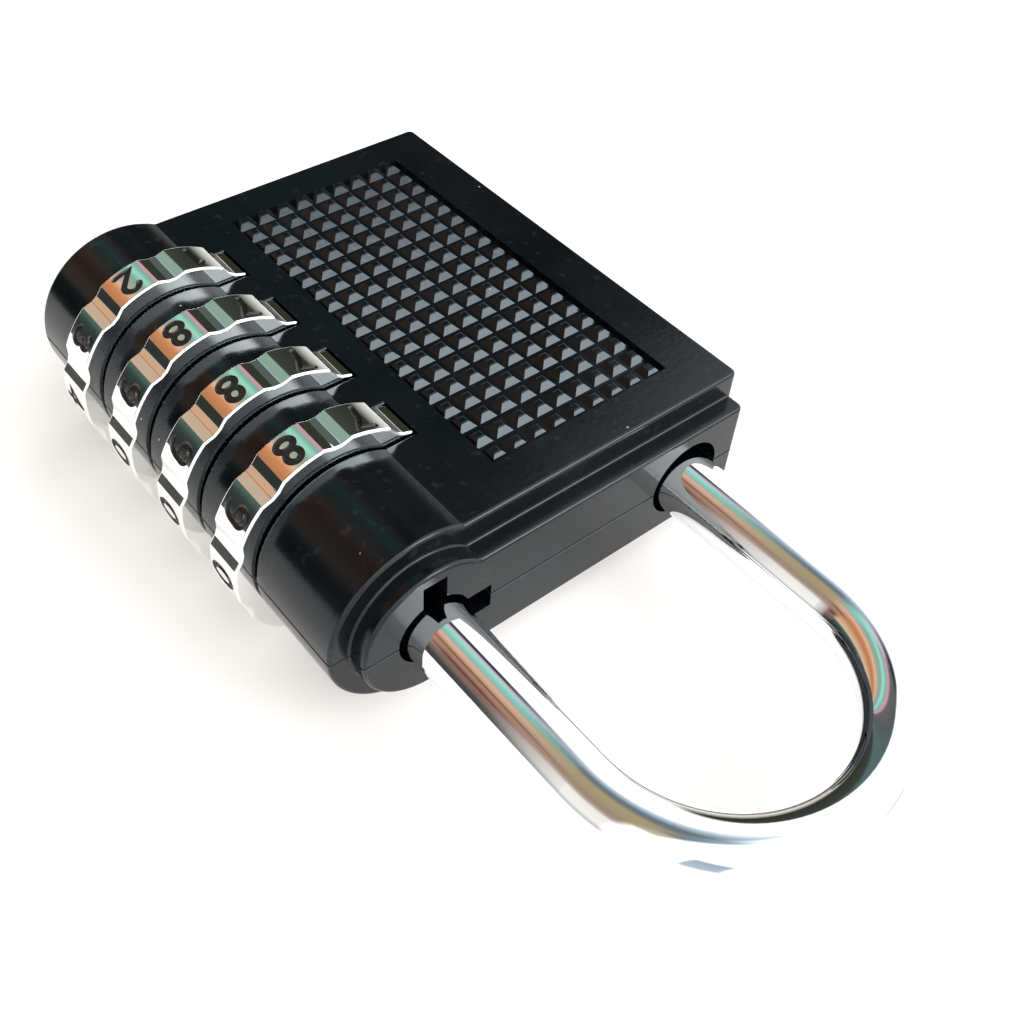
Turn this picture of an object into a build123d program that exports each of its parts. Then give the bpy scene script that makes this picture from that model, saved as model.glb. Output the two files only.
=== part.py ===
"""Resettable four-dial luggage padlock: zinc half shells, number dials, clutch sleeves, shackle and springs.

Frame: the origin is where the barrel axis (the long shackle leg's axis) meets the flat base.
+Y runs from the base to the shackle, +X from the body out through the dials, +Z out of the front face.
"""

from build123d import *
from math import cos, radians, sin
import os

# --- Driving dimensions, millimetres -------------------------------------------------------------
# Casing: a flat plate with a cylindrical barrel along one edge
BODY_LENGTH = 44.8          # base face to the shoulder
BODY_FAR = -32.0            # far edge of the plate, measured from the barrel axis
HALF_THICKNESS = 7.0
BARREL_R = 8.0
NECK_LENGTH = 1.75          # stepped neck between the shoulder and the end face
NECK_HALF_THICKNESS = 4.75
NECK_R = 6.25
NECK_FAR_INSET = 0.5
CORNER_R = 0.6              # far corners of the plate
CREASE_R = 0.6              # where the barrel meets the faces
EDGE_R = 0.3                # every outer edge
STEP_R = 0.2                # the corner between shoulder and neck
LIP_R = 0.25                # edges of the dial slots
PARTING_GROOVE = 0.12       # depth of the V that the two halves leave along the parting line
END_FACE = BODY_LENGTH + NECK_LENGTH

# Diamond panel on both faces: blunt pyramids with softened top edges
PYRAMID_PITCH = 2.0
PYRAMID_BASE = 1.66
PYRAMID_TOP = 0.5
PYRAMID_HEIGHT = 0.5
PYRAMID_EDGE = (0.12, 0.05)   # run and drop of the softened top edge
PANEL_SINK = 0.05
PANEL_NEAR = -9.45
PANEL_COLUMNS = 9
PANEL_END = 41.05
PANEL_LENGTH = 37.25

# Dials
DIAL_COUNT = 4
DIAL_PITCH = 8.0
FIRST_DIAL = 9.1            # centre of the dial nearest the base
DIAL_WIDTH = 3.75
DIAL_R = 9.6                # lands that carry the numbers
DIAL_GROOVE_R = 9.15        # flat floor of the grooves between them
DIGITS = 10
GROOVE_FLOOR_ANGLE = 2.4    # half angles seen from the axis
GROOVE_MOUTH_ANGLE = 7.2
DIAL_BORE_R = 6.0
DIAL_KEYWAY_R = 6.75
DIAL_KEYWAY_WIDTH = 1.6
DIAL_CHAMFER = 0.3
SLOT_R = 9.75
SLOT_WIDTH = 4.05

# Clutch sleeves
SLEEVE_R = 5.92
SLEEVE_INNER_R = 5.1
SLEEVE_GAP = 0.1
GATE_DISC = 1.6
GATE_BORE_R = 2.95
GATE_WIDTH = 3.1
LUG_LENGTH = 1.3
LUG_R = 6.6
LUG_WIDTH = 1.3
RESET_TRAVEL = 1.5
LUG_RECESS_R = 6.9

# Shackle
LEG_R = 2.75
LEG_SPACING = 25.2
BOW_START = 62.65
SHORT_LEG_END = 41.2
LONG_LEG_END = 7.5
FIN_REACH = 4.7
FIN_HEIGHT = 2.0
FIN_WIDTH = 2.8
FIN_GAP = 0.3               # between a fin and the gate disc it stops against
GUIDE_LUG_BOTTOM = 42.0
GUIDE_LUG_HEIGHT = 1.6
GUIDE_LUG_WIDTH = 1.8

# Bores in the casing
BASE_WALL = 1.6
LEG_BORE_R = 3.2
KEYWAY_WIDTH = 2.4
RESET_KEYWAY_WIDTH = 2.1
KEYWAY_REACH = 5.2
CHAMBER_R = 5.2
CHAMBER_ROOF = 41.2
POCKET_R = 3.5
POCKET_X = -25.6
POCKET_FLOOR = 40.6
CAVITY_X = (-27.4, -9.2)
CAVITY_Y = (4.6, 38.4)
CAVITY_HALF_HEIGHT = 5.2

# Springs, washers and rivets
WASHER = 0.5
LIFT_SPRING_R = 1.9
LIFT_WIRE = 0.5
RESET_SPRING_R = 4.9
RESET_WIRE = 0.45
PLUNGER = 0.8
PLUNGER_R = 2.6
GUIDE_PIN_R = 1.0
GUIDE_PIN = (0.6, 4.6)
STUB_R = 1.2
STUB_LENGTH = 1.2
RIVET_R = 1.25
RIVET_BLIND_END = 4.6
RIVETS = ((-29.6, 2.9), (-29.6, 37.6), (-7.9, 2.6), (-7.9, 41.6))
PIN_R = 0.9
PIN_HALF_LENGTH = 3.0
PINS = ((-18.4, 2.4), (-15.0, 42.2))
LEAF = 0.35
LEAF_FINGER_WIDTH = 2.4
LEAF_X = -11.0
LEAF_SPINE = 1.6
LEAF_SPINE_BOTTOM = -4.8
LEAF_TAB = 1.0
LEAF_SPAN = CAVITY_Y[1] - CAVITY_Y[0] + 2 * LEAF_TAB
LEAF_SLOT = 0.1             # play of the leaf's end tabs in their slots

DIAL_CENTRES = [FIRST_DIAL + DIAL_PITCH * n for n in range(DIAL_COUNT)]
SLEEVE_LENGTH = DIAL_PITCH - SLEEVE_GAP
STACK_TOP = DIAL_CENTRES[-1] + SLEEVE_LENGTH / 2
STACK_BOTTOM = DIAL_CENTRES[0] - SLEEVE_LENGTH / 2
BORE_TOP = STACK_TOP + SLEEVE_GAP + WASHER


def across(y):
    """Plane square to the barrel axis at height y: local x is +X, local y is +Z, normal is -Y."""
    return Plane.XZ.offset(-y)


def rise(length):
    """Extrude the pending sketch of an `across` plane by length along +Y, as new material."""
    return extrude(amount=-length)


def cut_between(low, high):
    """Cut the pending sketch of an `across` plane from one height to another."""
    return extrude(amount=low - high, mode=Mode.SUBTRACT)


def bore(radius, low, high, x=0.0):
    """Cut a round hole along Y between two heights."""
    with BuildSketch(across(low)) as section:
        with Locations((x, 0)):
            Circle(radius)
    extrude(section.sketch, amount=low - high, mode=Mode.SUBTRACT)


def half_section(half_thickness, radius, far):
    """Front half of the casing's section: the plate with the barrel along its near edge."""
    with BuildSketch(Plane.XZ, mode=Mode.PRIVATE) as section:
        with Locations((far / 2, half_thickness / 2)):
            Rectangle(-far, half_thickness)
        Circle(radius)
        with Locations((0, radius)):
            Rectangle(-4 * far, 2 * radius, mode=Mode.INTERSECT)
    return section.sketch


def rims(part, *heights):
    """Edges that lie square to the barrel axis at these heights, apart from those on the parting plane."""
    def chosen(edge):
        box = edge.bounding_box()
        level = any(abs(box.min.Y - y) + abs(box.max.Y - y) < 0.001 for y in heights)
        return level and box.max.Z > 0.001
    return part.edges().filter_by(chosen)


def lengthwise(part, x, z):
    """The edge parallel to the barrel axis that passes nearest to this point of the section."""
    return part.edges().filter_by(Axis.Y).sort_by_distance((x, BODY_LENGTH / 2, z))[0]


def rounded_half(half_thickness, radius, far, length, rounded_heights):
    """Half of a casing stage from height 0, with its crease and its outer edges rounded."""
    crease = -(radius**2 - half_thickness**2) ** 0.5
    with BuildPart() as stage:
        extrude(half_section(half_thickness, radius, far), amount=-length)
        fillet(stage.edges().filter_by(Axis.Z).group_by(Axis.X)[0], CORNER_R)
        fillet(lengthwise(stage, crease, half_thickness), CREASE_R)
        fillet(rims(stage, *rounded_heights) + [lengthwise(stage, far, half_thickness)], EDGE_R)
    return stage.part


# --- Diamond panel: the material that two crossing sets of grooves remove below a shallow recess ------
PANEL_WIDTH = PANEL_COLUMNS * PYRAMID_PITCH
PANEL_FAR = PANEL_NEAR - PANEL_WIDTH
PANEL_START = PANEL_END - PANEL_LENGTH
PANEL_TOP = HALF_THICKNESS - PANEL_SINK
PANEL_FLOOR = PANEL_TOP - PYRAMID_HEIGHT


def groove_section(plane, first, count, low, high):
    """Parallel grooves between rows of pyramids, a pitch apart from the first, within the panel's borders."""
    half_floor, half_mouth = (PYRAMID_PITCH - PYRAMID_BASE) / 2, (PYRAMID_PITCH - PYRAMID_TOP) / 2
    run, drop = PYRAMID_EDGE
    side = [(half_mouth, PANEL_TOP), (half_mouth - run, PANEL_TOP - drop), (half_floor, PANEL_FLOOR)]
    with BuildSketch(plane) as section:
        for line in [first - number * PYRAMID_PITCH for number in range(count)]:
            right = [(line + offset, height) for offset, height in side]
            left = [(line - offset, height) for offset, height in reversed(side)]
            with BuildLine():
                Polyline(*right, *left, close=True)
            make_face()
        with Locations(((low + high) / 2, (PANEL_TOP + PANEL_FLOOR) / 2)):
            Rectangle(high - low, PYRAMID_HEIGHT, mode=Mode.INTERSECT)
    return section.sketch


with BuildPart() as panel_cutter:
    with BuildSketch(Plane.XY.offset(PANEL_TOP)):
        with Locations((PANEL_NEAR - PANEL_WIDTH / 2, PANEL_START + PANEL_LENGTH / 2)):
            Rectangle(PANEL_WIDTH, PANEL_LENGTH)
    extrude(amount=2 * PANEL_SINK)
    columns = groove_section(across(PANEL_START), PANEL_NEAR, PANEL_COLUMNS + 1, PANEL_FAR, PANEL_NEAR)
    extrude(columns, amount=-PANEL_LENGTH)
    row_count = int(PANEL_LENGTH / PYRAMID_PITCH) + 1
    rows = groove_section(Plane.YZ.offset(PANEL_FAR), PANEL_END, row_count, PANEL_START, PANEL_END)
    extrude(rows, amount=PANEL_WIDTH)

# --- Casing: what the two half shells have in common, as the front half -----------------------------
with BuildPart() as half_shell:
    add(rounded_half(NECK_HALF_THICKNESS, NECK_R, BODY_FAR + NECK_FAR_INSET, END_FACE, [END_FACE]))
    add(rounded_half(HALF_THICKNESS, BARREL_R, BODY_FAR, BODY_LENGTH, [0, BODY_LENGTH]))
    fillet(rims(half_shell, BODY_LENGTH), STEP_R)
    for y in DIAL_CENTRES:
        bore(SLOT_R, y - SLOT_WIDTH / 2, y + SLOT_WIDTH / 2)
    slot_walls = [y + side * SLOT_WIDTH / 2 for y in DIAL_CENTRES for side in (-1, 1)]
    lips = rims(half_shell, *slot_walls)
    fillet(lips.filter_by(lambda e: e.geom_type != GeomType.CIRCLE or e.radius < SLOT_R), LIP_R)
    # Lug recesses below the slots, sleeve bore, fin chamber, leg bore and the guide pin's hole
    for y in DIAL_CENTRES:
        slot_low = y - SLOT_WIDTH / 2
        bore(LUG_RECESS_R, slot_low - RESET_TRAVEL - SLEEVE_GAP, slot_low)
    bore(DIAL_BORE_R, BASE_WALL, BORE_TOP)
    bore(CHAMBER_R, BORE_TOP, CHAMBER_ROOF)
    bore(LEG_BORE_R, CHAMBER_ROOF, END_FACE)
    bore(GUIDE_PIN_R, GUIDE_PIN[0], BASE_WALL)
    # Keyway that the shackle's guide lug slides in
    with BuildSketch(across(CHAMBER_ROOF)):
        with Locations((-KEYWAY_REACH / 2, 0)):
            Rectangle(KEYWAY_REACH, KEYWAY_WIDTH)
    cut_between(CHAMBER_ROOF, END_FACE)
    # Short leg pocket, cored cavity and locating pin holes
    bore(POCKET_R, POCKET_FLOOR, END_FACE, POCKET_X)
    with BuildSketch(Plane.XY):
        with Locations((sum(CAVITY_X) / 2, sum(CAVITY_Y) / 2)):
            Rectangle(CAVITY_X[1] - CAVITY_X[0], CAVITY_Y[1] - CAVITY_Y[0])
        with Locations((LEAF_X, sum(CAVITY_Y) / 2)):
            Rectangle(LEAF + LEAF_SLOT, LEAF_SPAN + LEAF_SLOT)
    extrude(amount=CAVITY_HALF_HEIGHT, mode=Mode.SUBTRACT)
    with BuildSketch(Plane.XY):
        with Locations(*PINS):
            Circle(PIN_R)
    extrude(amount=PIN_HALF_LENGTH, mode=Mode.SUBTRACT)
    add(panel_cutter.part, mode=Mode.SUBTRACT)
    # Parting line: this half's side of the V, everywhere but on the flat base
    neck_far, bar = BODY_FAR + NECK_FAR_INSET, PARTING_GROOVE * 2**0.5
    body_span, neck_span = (0, BODY_LENGTH), (BODY_LENGTH, END_FACE)
    sides = ((BODY_FAR, body_span), (BARREL_R, body_span), (neck_far, neck_span), (NECK_R, neck_span))
    for x, (low, high) in sides:
        with Locations((x, (low + high) / 2, 0)):
            Box(bar, high - low, bar, rotation=(0, 45, 0), mode=Mode.SUBTRACT)
    with Locations(((neck_far + NECK_R) / 2, END_FACE, 0)):
        Box(NECK_R - neck_far, bar, bar, rotation=(45, 0, 0), mode=Mode.SUBTRACT)

with BuildPart() as front_cover:
    add(half_shell.part)
    # Second keyway, a quarter turn round, that holds the shackle down while the code is reset
    with BuildSketch(across(CHAMBER_ROOF)):
        with Locations((0, KEYWAY_REACH / 2)):
            Rectangle(RESET_KEYWAY_WIDTH, KEYWAY_REACH)
    cut_between(CHAMBER_ROOF, END_FACE)
    with BuildSketch(Plane.XY):
        with Locations(*RIVETS):
            Circle(RIVET_R)
    extrude(amount=RIVET_BLIND_END, mode=Mode.SUBTRACT)

with BuildPart() as back_cover:
    mirror(half_shell.part, about=Plane.XY)
    with BuildSketch(Plane.XY):
        with Locations(*RIVETS):
            Circle(RIVET_R)
    extrude(amount=-HALF_THICKNESS, mode=Mode.SUBTRACT)


def polar(radius, angle):
    return (radius * cos(radians(angle)), radius * sin(radians(angle)))


def dial(y):
    """Number ring: ten lands parted by shallow grooves, with ten keyways in its bore."""
    pitch = 360 / DIGITS
    with BuildPart() as ring:
        with BuildSketch(across(y - DIAL_WIDTH / 2)):
            with BuildLine():
                for groove in [pitch * (n + 0.5) for n in range(DIGITS)]:
                    mouth = polar(DIAL_R, groove + GROOVE_MOUTH_ANGLE)
                    next_mouth = polar(DIAL_R, groove + pitch - GROOVE_MOUTH_ANGLE)
                    Polyline(
                        polar(DIAL_R, groove - GROOVE_MOUTH_ANGLE),
                        polar(DIAL_GROOVE_R, groove - GROOVE_FLOOR_ANGLE),
                        polar(DIAL_GROOVE_R, groove + GROOVE_FLOOR_ANGLE),
                        mouth,
                    )
                    ThreePointArc(mouth, polar(DIAL_R, groove + pitch / 2), next_mouth)
            make_face()
        rise(DIAL_WIDTH)
        chamfer(ring.edges().filter_by(Plane.XZ), DIAL_CHAMFER)
        with BuildSketch(across(y - DIAL_WIDTH / 2)):
            Circle(DIAL_BORE_R)
            with PolarLocations(DIAL_KEYWAY_R / 2, DIGITS):
                Rectangle(DIAL_KEYWAY_R, DIAL_KEYWAY_WIDTH)
        extrude(amount=-DIAL_WIDTH, mode=Mode.SUBTRACT)
    return ring


def clutch_sleeve(y):
    """Tube keyed to its dial by one lug; its gate disc lets the shackle's fin pass at one angle only."""
    bottom = y - SLEEVE_LENGTH / 2
    disc = bottom + SLEEVE_LENGTH - GATE_DISC
    lug = y - DIAL_WIDTH / 2 + SLEEVE_GAP
    with BuildPart() as sleeve:
        with BuildSketch(across(bottom)):
            Circle(SLEEVE_R)
            Circle(SLEEVE_INNER_R, mode=Mode.SUBTRACT)
        rise(SLEEVE_LENGTH)
        with BuildSketch(across(disc)):
            Circle((SLEEVE_INNER_R + SLEEVE_R) / 2)
            Circle(GATE_BORE_R, mode=Mode.SUBTRACT)
        rise(GATE_DISC)
        with BuildSketch(across(disc)):
            with Locations((-SLEEVE_INNER_R / 2, 0)):
                Rectangle(SLEEVE_INNER_R, GATE_WIDTH)
        extrude(amount=-GATE_DISC, mode=Mode.SUBTRACT)
        with BuildSketch(across(lug)):
            with Locations(((LUG_R + SLEEVE_INNER_R) / 2 + 0.2, 0)):
                Rectangle(LUG_R - SLEEVE_INNER_R - 0.4, LUG_WIDTH)
        rise(LUG_LENGTH)
    return sleeve


dials = [dial(y) for y in DIAL_CENTRES]
clutch_sleeves = [clutch_sleeve(y) for y in DIAL_CENTRES]

# --- Shackle --------------------------------------------------------------------------------------
BOW_R = LEG_SPACING / 2
with BuildPart() as shackle:
    with BuildLine():
        Line((0, LONG_LEG_END, 0), (0, BOW_START, 0))
        ThreePointArc((0, BOW_START, 0), (-BOW_R, BOW_START + BOW_R, 0), (-LEG_SPACING, BOW_START, 0))
        Line((-LEG_SPACING, BOW_START, 0), (-LEG_SPACING, SHORT_LEG_END, 0))
    with BuildSketch(across(LONG_LEG_END)):
        Circle(LEG_R)
    sweep()
    chamfer(shackle.faces().filter_by(Axis.Y).edges(), 0.35)
    for y in DIAL_CENTRES:
        fin_top = y + SLEEVE_LENGTH / 2 - GATE_DISC - FIN_GAP
        with BuildSketch(across(fin_top - FIN_HEIGHT)):
            with Locations((-FIN_REACH / 2, 0)):
                Rectangle(FIN_REACH, FIN_WIDTH)
        rise(FIN_HEIGHT)
    with BuildSketch(across(GUIDE_LUG_BOTTOM)):
        with Locations((-FIN_REACH / 2, 0)):
            Rectangle(FIN_REACH, GUIDE_LUG_WIDTH)
    rise(GUIDE_LUG_HEIGHT)

# --- Springs and washers --------------------------------------------------------------------------


def coil(mean_radius, wire, low, high, turns):
    """Open-coiled compression spring about the barrel axis, resting between two heights."""
    start, end = low + wire / 2, high - wire / 2
    pitch = (end - start) / turns
    with BuildPart() as spring:
        with BuildLine():
            helix = Helix(pitch, end - start, mean_radius, center=(0, start, 0), direction=(0, 1, 0))
        with BuildSketch(Plane(origin=helix @ 0, z_dir=helix % 0)):
            Circle(wire / 2)
        sweep(is_frenet=True)
    return spring


LIFT_SPRING_TOP = LONG_LEG_END - PLUNGER
WASHER_BOTTOM = STACK_BOTTOM - SLEEVE_GAP / 2 - WASHER
lift_spring = coil(LIFT_SPRING_R, LIFT_WIRE, BASE_WALL, LIFT_SPRING_TOP, 6)
reset_spring = coil(RESET_SPRING_R, RESET_WIRE, BASE_WALL, WASHER_BOTTOM, 2)

with BuildPart() as lift_plunger:
    with BuildSketch(across(LIFT_SPRING_TOP)):
        Circle(PLUNGER_R)
    rise(PLUNGER)
    with BuildSketch(across(LIFT_SPRING_TOP - STUB_LENGTH)):
        Circle(STUB_R)
    rise(STUB_LENGTH)


with BuildPart() as guide_pin:
    with BuildSketch(across(GUIDE_PIN[0])):
        Circle(GUIDE_PIN_R)
    rise(GUIDE_PIN[1] - GUIDE_PIN[0])
    chamfer(guide_pin.faces().sort_by(Axis.Y)[-1].edges(), GUIDE_PIN_R / 4)


def washer(bottom, inner):
    with BuildPart() as ring:
        with BuildSketch(across(bottom)):
            Circle(SLEEVE_R)
            Circle(inner, mode=Mode.SUBTRACT)
        rise(WASHER)
    return ring


lower_washer = washer(WASHER_BOTTOM, LEG_R + 0.6)
upper_washer = washer(STACK_TOP + SLEEVE_GAP / 2, SLEEVE_INNER_R)

# --- Detent spring: one leaf comb, with a finger behind each dial ------------------------------------
LEAF_BEND = 1.5
LEAF_TIP = 0.15             # gap between a finger's tip and the dial's lands
TIP_X, TIP_Z = polar(DIAL_R + LEAF_TIP, 180 - 180 / DIGITS)
with BuildPart() as detent_spring:
    with BuildSketch(Plane.YZ.offset(LEAF_X - LEAF / 2)):
        with Locations((sum(CAVITY_Y) / 2, LEAF_SPINE_BOTTOM + LEAF_SPINE / 2)):
            Rectangle(LEAF_SPAN, LEAF_SPINE)
        with Locations((sum(CAVITY_Y) / 2, 0)):
            with GridLocations(LEAF_SPAN - LEAF_TAB, 0, 2, 1):
                Rectangle(LEAF_TAB, 2 * CAVITY_HALF_HEIGHT - 0.1)
    extrude(amount=LEAF)
    for y in DIAL_CENTRES:
        with BuildSketch(across(y - LEAF_FINGER_WIDTH / 2)):
            with BuildLine():
                Polyline(
                    (LEAF_X - LEAF / 2, LEAF_SPINE_BOTTOM),
                    (LEAF_X + LEAF / 2, LEAF_SPINE_BOTTOM),
                    (LEAF_X + LEAF / 2, TIP_Z - LEAF_BEND),
                    (TIP_X, TIP_Z),
                    (LEAF_X + LEAF / 2, TIP_Z + LEAF_BEND),
                    (LEAF_X - LEAF / 2, TIP_Z + LEAF_BEND),
                    (TIP_X - 1.4 * LEAF, TIP_Z),
                    (LEAF_X - LEAF / 2, TIP_Z - LEAF_BEND),
                    close=True,
                )
            make_face()
        rise(LEAF_FINGER_WIDTH)

# --- Fasteners ------------------------------------------------------------------------------------
with BuildPart() as casing_rivets:
    with BuildSketch(Plane.XY.offset(-HALF_THICKNESS)):
        with Locations(*RIVETS):
            Circle(RIVET_R)
    extrude(amount=HALF_THICKNESS + RIVET_BLIND_END)

with BuildPart() as locating_pins:
    with BuildSketch(Plane.XY.offset(-PIN_HALF_LENGTH)):
        with Locations(*PINS):
            Circle(PIN_R)
    extrude(amount=2 * PIN_HALF_LENGTH)

# --- Labels and files -------------------------------------------------------------------------------
pieces = {
    "front_cover": front_cover,
    "back_cover": back_cover,
    "casing_rivets": casing_rivets,
    "locating_pins": locating_pins,
    "shackle": shackle,
    "lift_plunger": lift_plunger,
    "guide_pin": guide_pin,
    "lift_spring": lift_spring,
    "reset_spring": reset_spring,
    "lower_washer": lower_washer,
    "upper_washer": upper_washer,
    "detent_spring": detent_spring,
}
for number in range(DIAL_COUNT):
    pieces[f"dial_{number + 1}"] = dials[number]
    pieces[f"clutch_sleeve_{number + 1}"] = clutch_sleeves[number]

os.makedirs("parts", exist_ok=True)
for name, piece in pieces.items():
    piece.part.label = name
    export_step(piece.part, f"parts/{name}.step")
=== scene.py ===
"""Looks for the luggage combination padlock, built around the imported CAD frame.

The row frame: the barrel axis is the Y axis, the flat base face is at y = 0, +X points out of the
barrel through the dials and +Z out of the front face. Lengths are metres, and angles radians, where
nothing else is said.
"""
from math import asin, atan2, cos, degrees, hypot, pi, radians, sin

import bmesh
import bpy
from mathutils import Matrix, Vector


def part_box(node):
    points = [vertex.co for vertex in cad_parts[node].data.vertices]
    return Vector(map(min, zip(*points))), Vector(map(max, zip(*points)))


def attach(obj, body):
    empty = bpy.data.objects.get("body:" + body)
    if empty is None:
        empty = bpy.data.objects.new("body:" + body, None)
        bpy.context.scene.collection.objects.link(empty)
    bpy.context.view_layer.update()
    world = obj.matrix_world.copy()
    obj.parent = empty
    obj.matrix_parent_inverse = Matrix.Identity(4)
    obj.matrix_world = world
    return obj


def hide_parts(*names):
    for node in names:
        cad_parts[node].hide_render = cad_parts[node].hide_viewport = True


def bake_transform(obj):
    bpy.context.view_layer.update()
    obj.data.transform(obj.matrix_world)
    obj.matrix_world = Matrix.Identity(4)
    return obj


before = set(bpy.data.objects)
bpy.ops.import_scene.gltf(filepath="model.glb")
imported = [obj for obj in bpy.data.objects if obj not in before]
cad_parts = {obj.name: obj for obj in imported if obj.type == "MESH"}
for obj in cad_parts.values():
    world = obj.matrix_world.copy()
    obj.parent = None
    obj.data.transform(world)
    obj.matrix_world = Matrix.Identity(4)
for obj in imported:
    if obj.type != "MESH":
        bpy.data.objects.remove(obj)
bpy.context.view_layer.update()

MM = 0.001

# --- Facts read from the frame ----------------------------------------------------------------------
DIALS = sorted(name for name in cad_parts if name.startswith("dial_"))
DIAL_LOW, DIAL_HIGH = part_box(DIALS[0])
DIAL_R = DIAL_HIGH.x / MM                       # a dial is worked out in millimetres
DIAL_WIDTH = (DIAL_HIGH.y - DIAL_LOW.y) / MM
CASE_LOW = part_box("back_cover")[0]

# --- Numbered dials: sizes in millimetres, angles in degrees -----------------------------------------
DIGITS = 10
PITCH = 360 / DIGITS
GROOVE_DEPTH = 0.34                             # shallower than the CAD dial's grooves, 0.45
GROOVE_FLOOR_ANGLE = 2.0                        # half angles seen from the axis; the CAD floor has 2.4
GROOVE_MOUTH_ANGLE = 7.2
DIAL_CHAMFER = 0.13
EDGE_SOFTNESS = 0.06
EDGE_ANGLE = 15                                 # edges of the outline sharper than this are softened
BORE_R = 6.0
BORE_MARGIN = 1                                 # edges this near the bore stay sharp
KEYWAY_DEPTH = 0.75
KEYWAY_ANGLE = 7.5
LAND_STRIPS = 20
LARGE_FACE = 0.5                                # square millimetres
DIGIT_WIDTH = 1.4                               # of the stroke's centre line
DIGIT_HEIGHT = 2.4
CLOSED_END = 342                                # last point of a closed ellipse; its first point follows
STROKE = 0.29                                   # half the width of an engraved line
STROKE_DOME = (0.35, 0.72, 0.94)                # share of that width at the rings of a domed end
MITRE_LIMIT = 0.5                               # keeps a stroke's sharp corners from growing too wide
ENGRAVING_DEPTH = 0.2
DIAL_SMOOTH_ANGLE = 35
FIRST_DIGITS = {"dial_1": 4}                    # the number that faces +X; the other dials show 0


def ellipse(x, y, rx, ry, start, end, steps=20):
    """Points along part of an ellipse, from one angle to another in degrees."""
    turns = [radians(start + (end - start) * n / steps) for n in range(steps + 1)]
    return [(x + rx * cos(t), y + ry * sin(t)) for t in turns]


def digit_strokes():
    """Centre lines of the ten digits, as (points, closed) strokes that never cross themselves."""
    w, h = DIGIT_WIDTH / 2, DIGIT_HEIGHT / 2
    ring = ellipse(0, 0, w, h, 0, CLOSED_END, 38)
    low_loop = ellipse(0, h * 0.42 - h, w, h * 0.42 + 0.02, 0, CLOSED_END, 30)
    low_loop = [(x, y + h * 0.03) for x, y in low_loop]
    high_loop = ellipse(0, h * 0.47, w * 0.82, h * 0.5, 0, CLOSED_END, 30)
    six_tail = [(-w, -h * 0.45), (-w * 0.93, 0.02)]
    six_tail += ellipse(w * 0.25, h * 0.05, w * 1.15, h * 0.95, 165, 80, 12)
    six_loop = ellipse(0, -h * 0.42, w, h * 0.56, 0, CLOSED_END, 30)
    turned = lambda points: [(-x, -y) for x, y in points]
    return {
        0: [(ring, True)],
        1: [([(-w * 0.55, h * 0.6), (w * 0.15, h), (w * 0.15, -h)], False)],
        2: [(ellipse(0, h * 0.45, w * 0.95, h * 0.55, 165, -25, 18) + [(-w, -h), (w, -h)], False)],
        3: [(ellipse(0, h * 0.5, w * 0.9, h * 0.5, 155, -85, 22), False),
            (ellipse(0, -h * 0.45, w, h * 0.55, 88, -155, 22), False)],
        4: [([(w * 0.4, h), (-w, -h * 0.38), (w * 1.1, -h * 0.38)], False),
            ([(w * 0.42, h * 0.9), (w * 0.42, -h)], False)],
        5: [([(w * 0.85, h), (-w * 0.75, h), (-w * 0.85, h * 0.1)]
             + ellipse(-w * 0.05, -h * 0.38, w * 1.0, h * 0.62, 125, -150, 22), False)],
        6: [(six_tail, False), (six_loop, True)],
        7: [([(-w, h), (w, h), (w * 0.1, 0), (-w * 0.25, -h)], False)],
        8: [(high_loop, True), (low_loop, True)],
        9: [(turned(six_tail), False), (turned(six_loop), True)],
    }


def on_dial(x, y, lift, facet):
    """A digit's flat point (x right, y up) laid on the land whose middle is at this angle."""
    r = DIAL_R + lift
    angle = radians(facet) - x / DIAL_R
    return Vector((r * cos(angle), y, r * sin(angle)))


def add_tube(bm, points, closed, facet, sides=10):
    """A round tube along a stroke laid on the dial, with domed ends where the stroke is open."""
    laid = [on_dial(x, y, 0.0, facet) for x, y in points]
    out = Vector((cos(radians(facet)), 0, sin(radians(facet))))
    count = len(laid)
    rings = []
    for n, place in enumerate(laid):
        before = laid[n - 1] if n or closed else place
        after = laid[(n + 1) % count] if n < count - 1 or closed else place
        into = (place - before).normalized() if (place - before).length else None
        away = (after - place).normalized() if (after - place).length else None
        tangent = ((into or away) + (away or into)).normalized()
        side = tangent.cross(out).normalized()
        widen = 1 / max(MITRE_LIMIT, tangent.dot(into or away))
        rings.append((place, tangent, side, widen))
    if not closed:
        first, heading, across, _ = rings[0]
        head = [(first - heading * STROKE * (1 - s * s) ** 0.5, heading, across, s) for s in STROKE_DOME]
        last, heading, across, _ = rings[-1]
        tail = [(last + heading * STROKE * (1 - s * s) ** 0.5, heading, across, s) for s in STROKE_DOME[::-1]]
        rings = head + rings + tail
    loops = []
    for place, tangent, side, scale in rings:
        up = side.cross(tangent).normalized()
        wide, tall = STROKE * scale, ENGRAVING_DEPTH * min(scale, 1.0)
        turns = [2 * pi * k / sides for k in range(sides)]
        loops.append([bm.verts.new(place + side * wide * cos(t) + up * tall * sin(t)) for t in turns])
    pairs = list(zip(loops, loops[1:])) + ([(loops[-1], loops[0])] if closed else [])
    for low, high in pairs:
        for k in range(sides):
            bm.faces.new((low[k], low[(k + 1) % sides], high[(k + 1) % sides], high[k]))
    if not closed:
        bm.faces.new(loops[0][::-1])
        bm.faces.new(loops[-1])


def cutter_mesh(layer):
    """All digits' strokes of one layer, as tubes in their places round the dial."""
    bm = bmesh.new()
    for digit, strokes in digit_strokes().items():
        if layer < len(strokes):
            points, closed = strokes[layer]
            add_tube(bm, points, closed, -PITCH * digit)
    bmesh.ops.recalc_face_normals(bm, faces=bm.faces)
    mesh = bpy.data.meshes.new(f"digit_cutter_{layer}")
    bm.to_mesh(mesh)
    bm.free()
    return mesh


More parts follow.
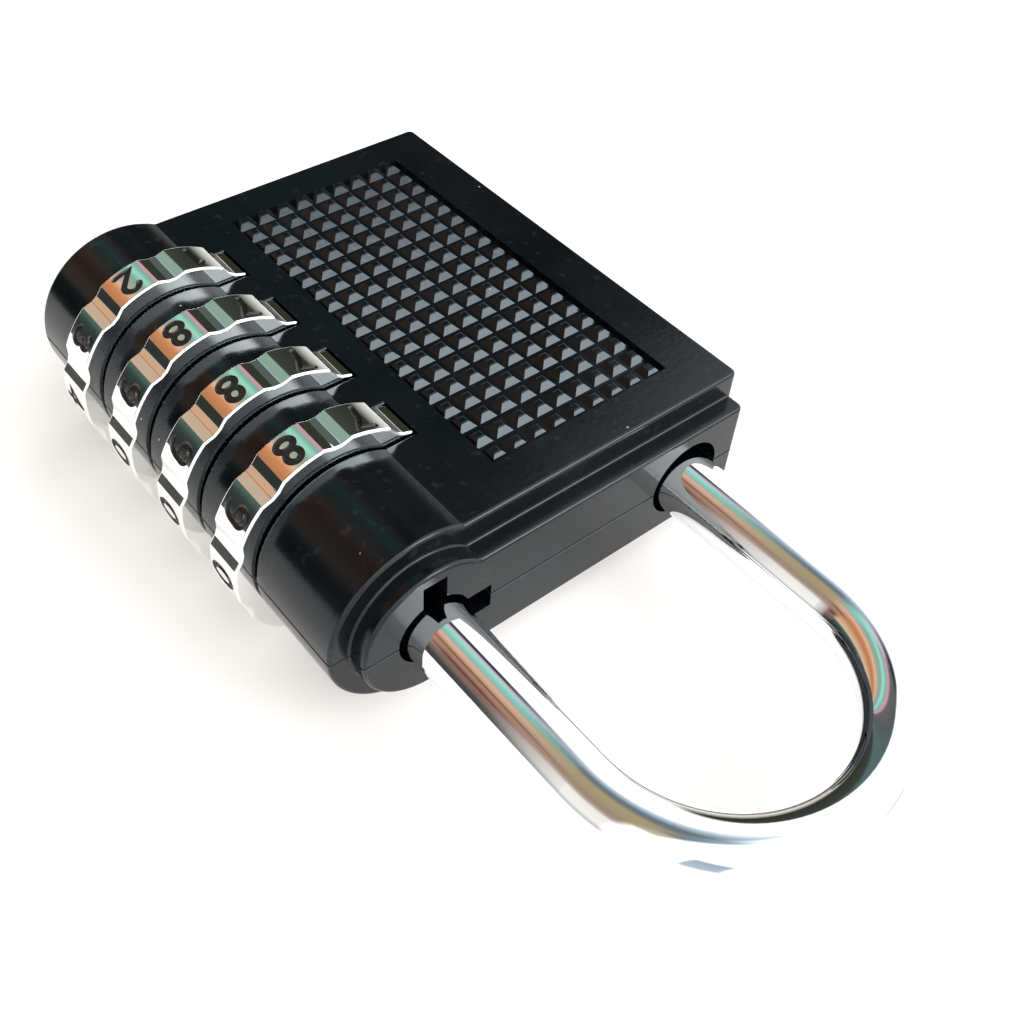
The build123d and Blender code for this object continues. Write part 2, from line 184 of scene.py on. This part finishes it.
def dial_outline():
    """Outer outline of a dial as (angle, depth below the lands)."""
    points = []
    for n in range(DIGITS):
        groove = PITCH * (n + 0.5)
        points.append((groove - GROOVE_FLOOR_ANGLE, GROOVE_DEPTH))
        points.append((groove + GROOVE_FLOOR_ANGLE, GROOVE_DEPTH))
        first, last = groove + GROOVE_MOUTH_ANGLE, groove + PITCH - GROOVE_MOUTH_ANGLE
        points += [(first + (last - first) * k / LAND_STRIPS, 0) for k in range(LAND_STRIPS + 1)]
    return points


def bore_radius(angle):
    """Radius of the keyed bore: ten keyways, one behind each land."""
    off = (angle + PITCH / 2) % PITCH - PITCH / 2
    return BORE_R + (KEYWAY_DEPTH if abs(off) < KEYWAY_ANGLE else 0)


def plain_dial(bm):
    """The dial without its digits: outline swept along Y, chamfered and softened, with a keyed bore."""
    half = DIAL_WIDTH / 2
    outline = dial_outline()
    levels = (
        (-half, DIAL_CHAMFER), (-half + DIAL_CHAMFER, 0),
        (half - DIAL_CHAMFER, 0), (half, DIAL_CHAMFER),
    )
    loops = []
    for y, inset in levels:
        radii = [(radians(a), DIAL_R - depth - inset) for a, depth in outline]
        loops.append([bm.verts.new((r * cos(a), y, r * sin(a))) for a, r in radii])
    for y in (half, -half):
        radii = [(radians(a), bore_radius(a)) for a, _ in outline]
        loops.append([bm.verts.new((r * cos(a), y, r * sin(a))) for a, r in radii])
    count = len(outline)
    for low, high in zip(loops, loops[1:] + loops[:1]):
        for k in range(count):
            bm.faces.new((low[k], low[(k + 1) % count], high[(k + 1) % count], high[k]))
    bmesh.ops.recalc_face_normals(bm, faces=bm.faces)
    outside = [edge for edge in bm.edges if edge.verts[0].co.xz.length > BORE_R + BORE_MARGIN]
    sharp = [edge for edge in outside if edge.calc_face_angle(0) > radians(EDGE_ANGLE)]
    bmesh.ops.bevel(bm, geom=sharp, offset=EDGE_SOFTNESS, segments=2, profile=0.5, affect="EDGES")


def link(name, mesh):
    """A new object in the scene."""
    piece = bpy.data.objects.new(name, mesh)
    bpy.context.scene.collection.objects.link(piece)
    return piece


def numbered_dial_mesh(chrome, ink):
    """One dial with its ten digits cut in and inked, about the origin, with the 0 facing +X."""
    bm = bmesh.new()
    plain_dial(bm)
    mesh = bpy.data.meshes.new("plain_dial")
    bm.to_mesh(mesh)
    bm.free()
    piece = link("numbered_dial", mesh)
    mesh.materials.append(chrome)
    cutters = []
    for layer in (0, 1):
        cutter = link(f"digit_cutter_{layer}", cutter_mesh(layer))
        cutter.data.materials.append(ink)
        cut = piece.modifiers.new(f"digits_{layer}", "BOOLEAN")
        cut.operation, cut.solver, cut.object = "DIFFERENCE", "EXACT", cutter
        cut.material_mode, cut.use_self = "TRANSFER", True
        cutters.append(cutter)
    bpy.context.view_layer.update()
    shaped = bpy.data.meshes.new_from_object(piece.evaluated_get(bpy.context.evaluated_depsgraph_get()))
    for spare in [piece] + cutters:
        bpy.data.objects.remove(spare)
    return shaped


def shade_dial(mesh):
    """Smooth shading with true cylinder normals on the lands and flat normals on the large flat faces."""
    near_land, upright, facing_y = 0.03, 0.02, 0.999
    mesh.shade_smooth()
    mesh.set_sharp_from_angle(angle=radians(DIAL_SMOOTH_ANGLE))
    normals = [Vector(n.vector) for n in mesh.corner_normals]
    for face in mesh.polygons:
        if mesh.materials[face.material_index].name.startswith("digit_ink"):
            continue
        off_land = abs(hypot(face.center.x, face.center.z) - DIAL_R)
        on_land = off_land < near_land and abs(face.normal.y) < upright
        large = face.area > LARGE_FACE or abs(face.normal.y) > facing_y
        for corner in face.loop_indices:
            place = mesh.vertices[mesh.loops[corner].vertex_index].co
            if on_land:
                normals[corner] = Vector((place.x, 0, place.z)).normalized()
            elif large:
                normals[corner] = face.normal.copy()
    mesh.normals_split_custom_set(normals)


# --- Springs ----------------------------------------------------------------------------------------
# node: (body at its upper end, turns, wire radius in millimetres)
SPRINGS = {"lift_spring": ("shackle", 6, 0.25), "reset_spring": ("lower_washer", 2, 0.225)}
COIL_STEPS = 60
WIRE_SIDES = 14
COIL_SMOOTH_ANGLE = 40                          # degrees


def coil_mesh(name, low, high, turns, wire):
    """A wound wire that fills this box, standing along Y about the origin's axis, in millimetres."""
    bm = bmesh.new()
    mean_r = high.x / MM - wire
    bottom, rise = low.y / MM + wire, (high.y - low.y) / MM - 2 * wire
    loops = []
    for n in range(turns * COIL_STEPS + 1):
        share = n / (turns * COIL_STEPS)
        turn = 2 * pi * turns * share
        out = Vector((cos(turn), 0, sin(turn)))
        middle = out * mean_r + Vector((0, bottom + rise * share, 0))
        around = [2 * pi * k / WIRE_SIDES for k in range(WIRE_SIDES)]
        ring = [middle + out * wire * cos(t) + Vector((0, wire * sin(t), 0)) for t in around]
        loops.append([bm.verts.new(place) for place in ring])
    for first, second in zip(loops, loops[1:]):
        for k in range(WIRE_SIDES):
            after = (k + 1) % WIRE_SIDES
            bm.faces.new((first[k], first[after], second[after], second[k]))
    bm.faces.new(loops[0][::-1])
    bm.faces.new(loops[-1])
    bmesh.ops.recalc_face_normals(bm, faces=bm.faces)
    mesh = bpy.data.meshes.new(name)
    bm.to_mesh(mesh)
    bm.free()
    mesh.shade_smooth()
    mesh.set_sharp_from_angle(angle=radians(COIL_SMOOTH_ANGLE))
    return mesh


# --- Materials --------------------------------------------------------------------------------------
class Shader:
    """A Principled material and a few short ways to wire nodes into it."""

    def __init__(self, name):
        self.material = bpy.data.materials.new(name)
        self.material.use_nodes = True
        self.tree = self.material.node_tree
        self.bsdf = self.tree.nodes["Principled BSDF"]
        coordinates = self.tree.nodes.new("ShaderNodeTexCoord")
        self.place = coordinates.outputs["Object"]

    def set(self, **values):
        """Constants on the shader's own sockets."""
        for socket, value in values.items():
            self.bsdf.inputs[socket.replace("_", " ")].default_value = value

    def node(self, kind, inputs=None, **settings):
        """A new node; an input is a number, a colour or another node's output."""
        made = self.tree.nodes.new(kind)
        for key, value in settings.items():
            setattr(made, key, value)
        for key, value in (inputs or {}).items():
            if isinstance(value, bpy.types.NodeSocket):
                self.tree.links.new(value, made.inputs[key])
            else:
                made.inputs[key].default_value = value
        return made

    def noise(self, per_mm, detail=3.0, stretch=None):
        """Noise with this many features to a millimetre, optionally stretched along the axes."""
        place = self.place
        if stretch:
            mapped = self.node("ShaderNodeMapping", {"Vector": place, "Scale": stretch})
            place = mapped.outputs["Vector"]
        inputs = {"Vector": place, "Scale": per_mm / MM, "Detail": detail}
        return self.node("ShaderNodeTexNoise", inputs).outputs["Fac"]

    def spots(self, per_mm, size):
        """Small round spots: 1 in a spot and 0 elsewhere."""
        cells = self.node("ShaderNodeTexVoronoi", {"Vector": self.place, "Scale": per_mm / MM})
        return self.remap(cells.outputs["Distance"], size, size * 0.6, 0, 1)

    def remap(self, value, low, high, to_low, to_high):
        """The value's range from low to high, stretched onto another one and held at its ends."""
        inputs = {"Value": value, "From Min": low, "From Max": high, "To Min": to_low, "To Max": to_high}
        return self.node("ShaderNodeMapRange", inputs).outputs["Result"]

    def times(self, a, b):
        return self.node("ShaderNodeMath", {0: a, 1: b}, operation="MULTIPLY").outputs["Value"]

    def mix(self, amount, first, second):
        """The first colour at 0 and the second at 1."""
        mixer = self.node("ShaderNodeMix", data_type="RGBA")
        for index, value in ((0, amount), (6, first), (7, second)):
            if isinstance(value, bpy.types.NodeSocket):
                self.tree.links.new(value, mixer.inputs[index])
            else:
                mixer.inputs[index].default_value = value
        return mixer.outputs[2]

    def wire(self, socket, value):
        self.tree.links.new(value, self.bsdf.inputs[socket])

    def bump(self, height, depth):
        """Relief this deep where the height goes from 0 to 1."""
        made = self.node("ShaderNodeBump", {"Height": height, "Distance": depth, "Strength": 1.0})
        self.wire("Normal", made.outputs["Normal"])


def grey(value):
    return (value, value, value, 1.0)


def case_paint():
    """Satin black paint on die-cast zinc: faint orange peel, cloudy sheen, dust and the parting line, grooved
    and darkened with painted shade.
    """
    paint = Shader("case_paint_black")
    peel = paint.noise(2.2, 2.0)
    cloud = paint.noise(0.12, 3.0)
    axes = paint.node("ShaderNodeSeparateXYZ", {"Vector": paint.place})
    from_parting = paint.node("ShaderNodeMath", {0: axes.outputs["Z"]}, operation="ABSOLUTE").outputs["Value"]
    # 1 along the parting line: the paint is grooved and roughened there, and darkened as painted shade
    parting_seam_and_shade = paint.remap(from_parting, 0.03 * MM, 0.1 * MM, 1, 0)
    deep_black, soft_black = (0.0014, 0.0018, 0.0027, 1), (0.0028, 0.0035, 0.005, 1)
    shade = paint.mix(paint.remap(cloud, 0.35, 0.7, 0, 1), deep_black, soft_black)
    dust = paint.times(paint.spots(0.42, 0.055), paint.remap(paint.noise(0.2, 2.0), 0.52, 0.6, 0, 1))
    worn = paint.remap(paint.noise(1.1, 4.0), 0.62, 0.7, 0, 0.05)
    worn_grey, dust_grey = (0.12, 0.13, 0.14, 1), (0.35, 0.37, 0.38, 1)
    flecked = paint.mix(dust, paint.mix(worn, shade, worn_grey), dust_grey)
    # The near-black along the parting line is painted shade, standing in for the shade inside the seam
    paint.wire("Base Color", paint.mix(parting_seam_and_shade, flecked, (0.0005, 0.0005, 0.0005, 1)))
    gloss = paint.remap(cloud, 0.3, 0.75, 0.13, 0.21)
    rougher = paint.node("ShaderNodeMath", {0: gloss, 1: parting_seam_and_shade}, operation="MAXIMUM")
    paint.wire("Roughness", rougher.outputs["Value"])
    paint.set(IOR=1.38, Specular_Tint=(0.8, 0.93, 1.0, 1))
    seam = paint.node("ShaderNodeMath", {0: paint.times(peel, 0.15), 1: parting_seam_and_shade}, operation="SUBTRACT")
    paint.bump(seam.outputs["Value"], 0.04 * MM)
    return paint.material


def chrome(name, tint, roughness, scratches):
    """Bright chrome plate with hairline scratches, small pits and a cloudy polish.

    scratches, like worn_metal's stretch, holds the noise's scale along X, Y and Z.
    """
    plate = Shader(name)
    hair = plate.noise(1.2, 4.0, stretch=scratches)
    cloud = plate.noise(0.5, 3.0)
    plate.set(Metallic=1.0)
    darker = tuple(0.86 * c for c in tint[:3]) + (1,)
    plate.wire("Base Color", plate.mix(plate.spots(0.7, 0.05), tint, darker))
    plate.wire("Roughness", plate.remap(cloud, 0.35, 0.7, roughness, roughness * 2.0))
    plate.bump(hair, 0.0012 * MM)
    return plate.material


def digit_ink():
    """Glossy black enamel in the engraved numbers, a little uneven."""
    ink = Shader("digit_ink_black")
    uneven = ink.noise(2.5, 3.0)
    ink.wire("Base Color", ink.mix(uneven, grey(0.002), grey(0.008)))
    ink.wire("Roughness", ink.remap(uneven, 0.3, 0.7, 0.18, 0.35))
    ink.bump(uneven, 0.02 * MM)
    return ink.material


def worn_metal(name, tint, roughness, stretch):
    """Turned, drawn or stamped metal inside the lock, with fine tool marks."""
    metal = Shader(name)
    marks = metal.noise(2.0, 3.0, stretch=stretch)
    darker = tuple(0.75 * c for c in tint[:3]) + (1,)
    metal.set(Metallic=1.0)
    metal.wire("Base Color", metal.mix(metal.remap(marks, 0.35, 0.65, 0, 1), darker, tint))
    metal.wire("Roughness", metal.remap(marks, 0.3, 0.7, roughness, roughness * 1.5))
    metal.bump(marks, 0.004 * MM)
    return metal.material


def paint_node(node, material):
    """Gives a CAD node its finished material."""
    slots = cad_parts[node].data.materials
    slots.clear()
    slots.append(material)


# --- Build ------------------------------------------------------------------------------------------
dial_chrome = chrome("dial_chrome_bright", (0.88, 0.89, 0.88, 1), 0.035, (1.0, 0.08, 1.0))
shackle_chrome = chrome("shackle_chrome_bright", (0.92, 0.93, 0.94, 1), 0.03, (1.0, 0.06, 1.0))
paint = case_paint()
brass = worn_metal("sleeve_brass_turned", (0.75, 0.53, 0.24, 1), 0.28, (1.0, 4.0, 1.0))
steel = worn_metal("spring_steel_drawn", (0.55, 0.55, 0.57, 1), 0.3, (1.0, 1.0, 1.0))

dial_mesh = numbered_dial_mesh(dial_chrome, digit_ink())
for name in DIALS:
    low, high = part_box(name)
    mesh = dial_mesh.copy()
    turn = PITCH * FIRST_DIGITS.get(name, 0)
    shade_dial(mesh)
    mesh.transform(Matrix.Rotation(-radians(turn), 4, "Y"))
    mesh.transform(Matrix.Translation((0, (low.y + high.y) / 2 / MM, 0)))
    mesh.transform(Matrix.Scale(MM, 4))
    piece = link(f"numbered_{name}", mesh)
    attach(piece, name)
    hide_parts(name)

for node in ("front_cover", "back_cover", "casing_rivets"):
    paint_node(node, paint)
paint_node("shackle", shackle_chrome)
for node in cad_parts:
    if node.startswith("clutch_sleeve"):
        paint_node(node, brass)
for node in ("lift_plunger", "guide_pin", "lower_washer", "upper_washer", "detent_spring", "locating_pins"):
    paint_node(node, steel)
for node, (body, turns, wire) in SPRINGS.items():
    low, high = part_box(node)
    mesh = coil_mesh(f"wound_{node}", low, high, turns, wire)
    mesh.transform(Matrix.Scale(MM, 4))
    mesh.materials.append(steel)
    piece = link(f"wound_{node}", mesh)
    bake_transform(piece)
    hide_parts(node)


# --- Floor: the lock lies on its dials and on the back cover's far edge -------------------------------
FLOOR_HALF = 1.5
FLOOR_GAP = 0.05 * MM
FLOOR_MIDDLE = Vector((0, 0.04, 0))


def floor_tilt():
    """Angle about Y of the plane that touches the dials and the back cover's far edge."""
    return asin(DIAL_R * MM / hypot(CASE_LOW.x, CASE_LOW.z)) - atan2(-CASE_LOW.z, -CASE_LOW.x)


TILT = floor_tilt()
floor_mesh = bpy.data.meshes.new("floor")
bm = bmesh.new()
bmesh.ops.create_grid(bm, x_segments=2, y_segments=2, size=FLOOR_HALF)
bm.to_mesh(floor_mesh)
bm.free()
floor = link("floor", floor_mesh)
floor.rotation_euler = (0, TILT, 0)
floor_up = Vector((sin(TILT), 0, cos(TILT)))
floor.location = FLOOR_MIDDLE - floor_up * (DIAL_R * MM + FLOOR_GAP)
floor_paper = Shader("floor_paper")
floor_cloud = floor_paper.noise(0.02, 2.0)
floor_paper.wire("Base Color", floor_paper.mix(floor_cloud, (0.6, 0.59, 0.58, 1), (0.63, 0.62, 0.61, 1)))
floor_paper.set(Roughness=0.9, Emission_Color=(1.0, 0.97, 0.94, 1), Emission_Strength=0.3)
floor_mesh.materials.append(floor_paper.material)


# --- Surroundings: a bright room, mirrored by the chrome ---------------------------------------------
# A band is (angle about Y from +X towards +Z in degrees, colour), and colours run evenly from one band
# to the next. ROOMS says at which Y part of the direction each set of bands holds, from the base end to
# the shackle end, and one set fades into the next between two such numbers. Colours above 1 are lights.
NEAR_ROOM = (
    (-180, (0.10, 0.13, 0.16)), (-20, (0.9, 0.9, 0.88)), (-10, (0.10, 0.11, 0.11)),
    (4, (0.05, 0.06, 0.055)),
    (13, (0.08, 0.08, 0.08)), (20, (0.20, 0.14, 0.13)), (31, (0.29, 0.14, 0.11)),
    (37, (0.10, 0.05, 0.04)),
    (44, (0.38, 0.21, 0.15)), (52, (0.45, 0.23, 0.15)), (56, (0.16, 0.08, 0.06)),
    (61, (0.58, 0.33, 0.21)),
    (71, (0.72, 0.49, 0.36)), (79, (0.46, 0.42, 0.38)), (84, (0.22, 0.62, 0.50)),
    (96, (0.35, 0.78, 0.68)),
    (101, (0.60, 0.62, 0.66)), (105, (0.60, 0.38, 0.50)), (108, (0.03, 0.04, 0.05)),
    (114, (0.04, 0.05, 0.06)),
    (117, (1.4, 1.4, 1.45)), (170, (1.6, 1.6, 1.6)), (176, (0.2, 0.25, 0.3)),
)
FAR_ROOM = (
    (-180, (0.06, 0.07, 0.07)), (-22, (0.6, 0.6, 0.56)), (-14, (0.30, 0.29, 0.27)),
    (-4, (0.10, 0.10, 0.09)),
    (6, (0.03, 0.035, 0.033)), (18, (0.04, 0.06, 0.05)), (27, (0.10, 0.17, 0.14)),
    (31, (0.74, 0.52, 0.38)),
    (44, (0.66, 0.40, 0.24)), (56, (0.50, 0.22, 0.10)), (66, (0.70, 0.28, 0.12)),
    (71, (0.85, 0.52, 0.34)),
    (77, (0.45, 0.42, 0.34)), (86, (0.24, 0.42, 0.34)), (92, (0.40, 0.78, 0.66)),
    (98, (0.20, 0.45, 0.36)),
    (102, (0.80, 0.35, 0.48)), (105, (0.14, 0.14, 0.13)), (116, (0.10, 0.11, 0.11)),
    (122, (0.09, 0.15, 0.14)),
    (129, (0.10, 0.16, 0.16)), (134, (0.05, 0.055, 0.05)), (160, (0.03, 0.035, 0.02)),
    (169, (0.5, 0.5, 0.45)),
    (175, (0.8, 0.8, 0.75)),
)
END_ROOM = (
    (-180, (1.5, 1.5, 1.5)), (-30, (1.2, 1.2, 1.2)), (-8, (1.0, 1.0, 0.98)), (2, (0.62, 0.62, 0.58)),
    (12, (1.0, 0.98, 0.92)), (36, (0.95, 0.9, 0.85)), (44, (0.45, 0.36, 0.3)), (52, (0.34, 0.26, 0.19)),
    (66, (0.40, 0.32, 0.19)), (82, (0.42, 0.34, 0.2)), (90, (0.2, 0.2, 0.19)), (97, (0.14, 0.19, 0.24)),
    (106, (0.45, 0.55, 0.62)), (112, (0.9, 1.0, 1.1)), (118, (2.0, 2.0, 2.0)),
)
HIGH_ROOM = (
    (-180, (1.5, 1.5, 1.5)), (-30, (1.2, 1.2, 1.2)), (20, (1.8, 1.8, 1.8)), (56, (1.8, 1.75, 1.65)),
    (64, (0.62, 0.55, 0.42)), (74, (0.5, 0.44, 0.34)), (79, (0.18, 0.22, 0.26)),
    (90, (0.24, 0.32, 0.39)),
    (98, (0.38, 0.52, 0.62)), (104, (1.2, 1.3, 1.4)), (110, (2.4, 2.4, 2.4)),
)
CEILING = (
    (-180, (1.4, 1.4, 1.4)), (-20, (1.2, 1.2, 1.2)), (20, (3.2, 3.2, 3.2)), (150, (4.0, 4.0, 4.0)),
    (175, (2.0, 2.0, 2.0)),
)
LAMPS = (
    (-180, (1.4, 1.4, 1.4)), (8, (1.2, 1.2, 1.2)), (16, (0.5, 0.58, 0.66)), (40, (0.38, 0.5, 0.62)),
    (50, (2.0, 2.0, 2.0)), (104, (3.0, 3.0, 3.0)), (112, (12.0, 12.0, 12.0)),
    (142, (12.0, 12.0, 12.0)), (152, (0.5, 0.62, 0.72)), (162, (1.6, 1.6, 1.6)),
)
ROOMS = (
    (-0.51, FAR_ROOM), (-0.45, NEAR_ROOM), (-0.42, NEAR_ROOM), (-0.3, END_ROOM), (0.02, END_ROOM),
    (0.16, HIGH_ROOM), (0.34, CEILING), (0.54, CEILING), (0.6, LAMPS), (0.78, LAMPS), (0.86, CEILING),
)
PALE_PAPER = (0.93, 0.925, 0.91, 1)


def world_ramp(tree, angle, bands):
    """A ramp through the bands of one room; angle is 0 at -180 degrees and 1 at 180."""
    ramp = tree.nodes.new("ShaderNodeValToRGB")
    tree.links.new(angle, ramp.inputs["Fac"])
    stops = ramp.color_ramp.elements
    stops.remove(stops[0])
    stops[0].position = 0
    for place, colour in bands:
        stop = stops[0] if place == -180 else stops.new((place + 180) / 360)
        stop.color = (*colour, 1)
    return ramp.outputs["Color"]


def build_world():
    """The rooms as one background, with plain pale paper where the camera looks past the lock."""
    world = bpy.data.worlds.new("room")
    bpy.context.scene.world = world
    world.use_nodes = True
    tree = world.node_tree
    background = tree.nodes["Background"]

    def math(operation, a, b=None):
        made = tree.nodes.new("ShaderNodeMath")
        made.operation = operation
        for index, value in enumerate((a, b)):
            if isinstance(value, bpy.types.NodeSocket):
                tree.links.new(value, made.inputs[index])
            elif value is not None:
                made.inputs[index].default_value = value
        return made.outputs["Value"]

    def blend(value, low, high, first, second):
        """first below low, second above high."""
        ranged = tree.nodes.new("ShaderNodeMapRange")
        ranged.interpolation_type = "SMOOTHSTEP"
        tree.links.new(value, ranged.inputs["Value"])
        ranged.inputs["From Min"].default_value = low
        ranged.inputs["From Max"].default_value = high
        mixer = tree.nodes.new("ShaderNodeMix")
        mixer.data_type = "RGBA"
        tree.links.new(ranged.outputs["Result"], mixer.inputs[0])
        for index, value_in in ((6, first), (7, second)):
            if isinstance(value_in, bpy.types.NodeSocket):
                tree.links.new(value_in, mixer.inputs[index])
            else:
                mixer.inputs[index].default_value = value_in
        return mixer.outputs[2]

    direction = tree.nodes.new("ShaderNodeTexCoord")
    split = tree.nodes.new("ShaderNodeSeparateXYZ")
    tree.links.new(direction.outputs["Generated"], split.inputs["Vector"])
    around = math("ARCTAN2", split.outputs["Z"], split.outputs["X"])
    turn = math("ADD", math("DIVIDE", around, 2 * pi), 0.5)
    everything = world_ramp(tree, turn, ROOMS[0][1])
    for (low, below), (high, above) in zip(ROOMS, ROOMS[1:]):
        if above is not below:
            everything = blend(split.outputs["Y"], low, high, everything, world_ramp(tree, turn, above))
    plain = tree.nodes.new("ShaderNodeBackground")
    plain.inputs["Color"].default_value = PALE_PAPER
    paths = tree.nodes.new("ShaderNodeLightPath")
    chooser = tree.nodes.new("ShaderNodeMixShader")
    tree.links.new(everything, background.inputs["Color"])
    tree.links.new(paths.outputs["Is Camera Ray"], chooser.inputs[0])
    tree.links.new(background.outputs[0], chooser.inputs[1])
    tree.links.new(plain.outputs[0], chooser.inputs[2])
    tree.links.new(chooser.outputs[0], tree.nodes["World Output"].inputs["Surface"])


build_world()

# --- Camera -------------------------------------------------------------------------------------------
CAMERA_PLACE = Vector((32.4, 88.6, 71.0)) * MM
CAMERA_LOOKS_AT = Vector((-12.5, 40.26, -1.2)) * MM
CAMERA_ROLL = radians(4.68)
LENS = 42.67                                    # millimetres, as is the sensor's width
SENSOR_WIDTH = 36

camera_data = bpy.data.cameras.new("camera")
camera = link("camera", camera_data)
camera_data.lens = LENS
camera_data.sensor_width = SENSOR_WIDTH
camera_data.clip_start = 1 * MM
look = (CAMERA_LOOKS_AT - CAMERA_PLACE).to_track_quat("-Z", "Y").to_matrix().to_4x4()
camera.matrix_world = Matrix.Translation(CAMERA_PLACE) @ look @ Matrix.Rotation(CAMERA_ROLL, 4, "Z")
bpy.context.scene.camera = camera
bpy.context.scene.view_settings.view_transform = "Standard"
